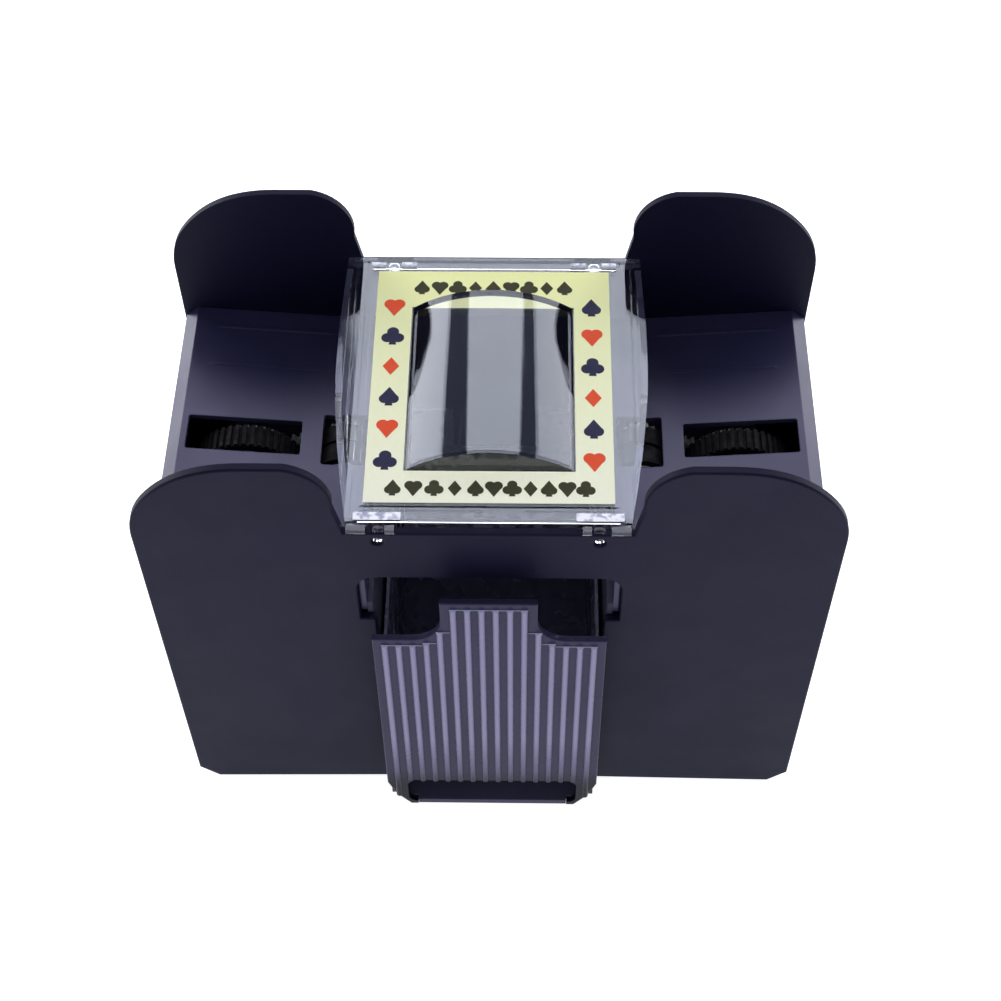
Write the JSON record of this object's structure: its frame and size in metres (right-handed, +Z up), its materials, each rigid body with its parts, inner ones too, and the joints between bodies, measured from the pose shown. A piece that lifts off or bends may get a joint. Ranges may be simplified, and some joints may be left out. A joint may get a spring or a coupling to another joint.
{
  "type": "automatic card shuffler",
  "caption": "Battery card shuffler: sloping hoppers with ridged feed wheels, clear vaulted cover with a printed label, ribbed smoky drawer between black end-lobed panels.",
  "frame": {"origin": "on the table, under the middle of the whole object's box: half way across it, and half way between the drawer front's ribs and the run button", "axes": "+Z up, +Y from the drawer front to the rear panel, +X to the right hopper when the drawer faces the viewer"},
  "size_m": [0.1986, 0.1202, 0.1689],
  "materials": {
    "shell_black": "fine textured moulding",
    "deck_black": "satin",
    "inner_black": "moulded",
    "smoke_clear": "smoky clear",
    "clear": "clear gloss",
    "label": "printed film",
    "rubber": "matt",
    "gear_white": "natural nylon",
    "steel": "ground",
    "brass": "machined",
    "motor_steel": "plated",
    "cell": "printed sleeve",
    "spring_metal": "nickel plated",
    "wire": "insulation",
    "button": "satin",
    "screw": "blackened"
  },
  "bodies": {
    "housing": {"base_plate": "inner_black", "bin_wall_left": "inner_black", "bin_wall_right": "inner_black", "c_cell_inner_left": "cell", "c_cell_inner_right": "cell", "c_cell_outer_left": "cell", "c_cell_outer_right": "cell", "contact_front_left": "spring_metal", "contact_front_right": "spring_metal", "contact_rear_left": "spring_metal", "contact_rear_right": "spring_metal", "end_cover_left": "shell_black", "end_cover_right": "shell_black", "frame_screws": "screw", "front_panel": "shell_black", "gear_frame_left": "inner_black", "gear_frame_right": "inner_black", "hopper_deck_left": "deck_black", "hopper_deck_right": "deck_black", "idler_axle_left": "steel", "idler_axle_right": "steel", "motor_left": "motor_steel", "motor_right": "motor_steel", "motor_screws": "screw", "motor_wires_left": "wire", "motor_wires_right": "wire", "panel_screws": "screw", "rear_panel": "shell_black", "rubber_feet": "rubber", "run_switch": "inner_black"},
    "feed_train_left": {"feed_axle_left": "steel", "feed_wheel_left": "gear_white", "feed_tyre_left": "rubber", "feed_gear_left": "gear_white"},
    "exit_train_left": {"exit_axle_left": "steel", "exit_roller_left": "gear_white", "exit_tyre_left": "rubber", "exit_gear_left": "gear_white"},
    "compound_left": {"compound_gear_left": "gear_white"},
    "motor_rotor_left": {"motor_shaft_left": "steel", "motor_pinion_left": "brass"},
    "battery_door_left": {"battery_door_left": "inner_black"},
    "feed_train_right": {"feed_axle_right": "steel", "feed_wheel_right": "gear_white", "feed_tyre_right": "rubber", "feed_gear_right": "gear_white"},
    "exit_train_right": {"exit_axle_right": "steel", "exit_roller_right": "gear_white", "exit_tyre_right": "rubber", "exit_gear_right": "gear_white"},
    "compound_right": {"compound_gear_right": "gear_white"},
    "motor_rotor_right": {"motor_shaft_right": "steel", "motor_pinion_right": "brass"},
    "battery_door_right": {"battery_door_right": "inner_black"},
    "drawer": {"card_drawer": "smoke_clear"},
    "cover": {"top_cover": "clear", "label_card": "label"},
    "button": {"run_button": "button"}
  },
  "joints": [
    {"name": "feed_spin_left", "type": "hinge", "parent": "housing", "child": "feed_train_left", "pos_m": [-0.075, 0.0041, 0.1015], "axis": [0, 1, 0], "continuous": true},
    {"name": "compound_spin_left", "type": "hinge", "parent": "housing", "child": "compound_left", "pos_m": [-0.05703, 0.0041, 0.09102], "axis": [0, 1, 0], "continuous": true},
    {"name": "exit_spin_left", "type": "hinge", "parent": "housing", "child": "exit_train_left", "pos_m": [-0.0456, 0.0041, 0.1084], "axis": [0, 1, 0], "continuous": true},
    {"name": "motor_spin_left", "type": "hinge", "parent": "housing", "child": "motor_rotor_left", "pos_m": [-0.05703, 0.0041, 0.07102], "axis": [0, 1, 0], "continuous": true},
    {"name": "battery_door_left_drop", "type": "slide", "parent": "housing", "child": "battery_door_left", "axis": [0, 0, -1], "range_m": [0, 0.03]},
    {"name": "feed_spin_right", "type": "hinge", "parent": "housing", "child": "feed_train_right", "pos_m": [0.075, 0.0041, 0.1015], "axis": [0, -1, 0], "continuous": true},
    {"name": "compound_spin_right", "type": "hinge", "parent": "housing", "child": "compound_right", "pos_m": [0.05703, 0.0041, 0.09102], "axis": [0, -1, 0], "continuous": true},
    {"name": "exit_spin_right", "type": "hinge", "parent": "housing", "child": "exit_train_right", "pos_m": [0.0456, 0.0041, 0.1084], "axis": [0, -1, 0], "continuous": true},
    {"name": "motor_spin_right", "type": "hinge", "parent": "housing", "child": "motor_rotor_right", "pos_m": [0.05703, 0.0041, 0.07102], "axis": [0, -1, 0], "continuous": true},
    {"name": "battery_door_right_drop", "type": "slide", "parent": "housing", "child": "battery_door_right", "axis": [0, 0, -1], "range_m": [0, 0.03]},
    {"name": "drawer_slide", "type": "slide", "parent": "housing", "child": "drawer", "axis": [0, -1, 0], "range_m": [0, 0.095]},
    {"name": "cover_lift", "type": "slide", "parent": "housing", "child": "cover", "axis": [0, 0, 1], "range_m": [0, 0.06]},
    {"name": "button_press", "type": "slide", "parent": "housing", "child": "button", "axis": [0, -1, 0], "range_m": [0, 0.002]}
  ],
  "couplings": [
    {"joint": "compound_spin_left", "follows": "feed_spin_left", "ratio": -1.6},
    {"joint": "exit_spin_left", "follows": "feed_spin_left", "ratio": 5.3333},
    {"joint": "motor_spin_left", "follows": "feed_spin_left", "ratio": 6.4},
    {"joint": "compound_spin_right", "follows": "feed_spin_right", "ratio": -1.6},
    {"joint": "exit_spin_right", "follows": "feed_spin_right", "ratio": 5.3333},
    {"joint": "motor_spin_right", "follows": "feed_spin_right", "ratio": 6.4}
  ]
}
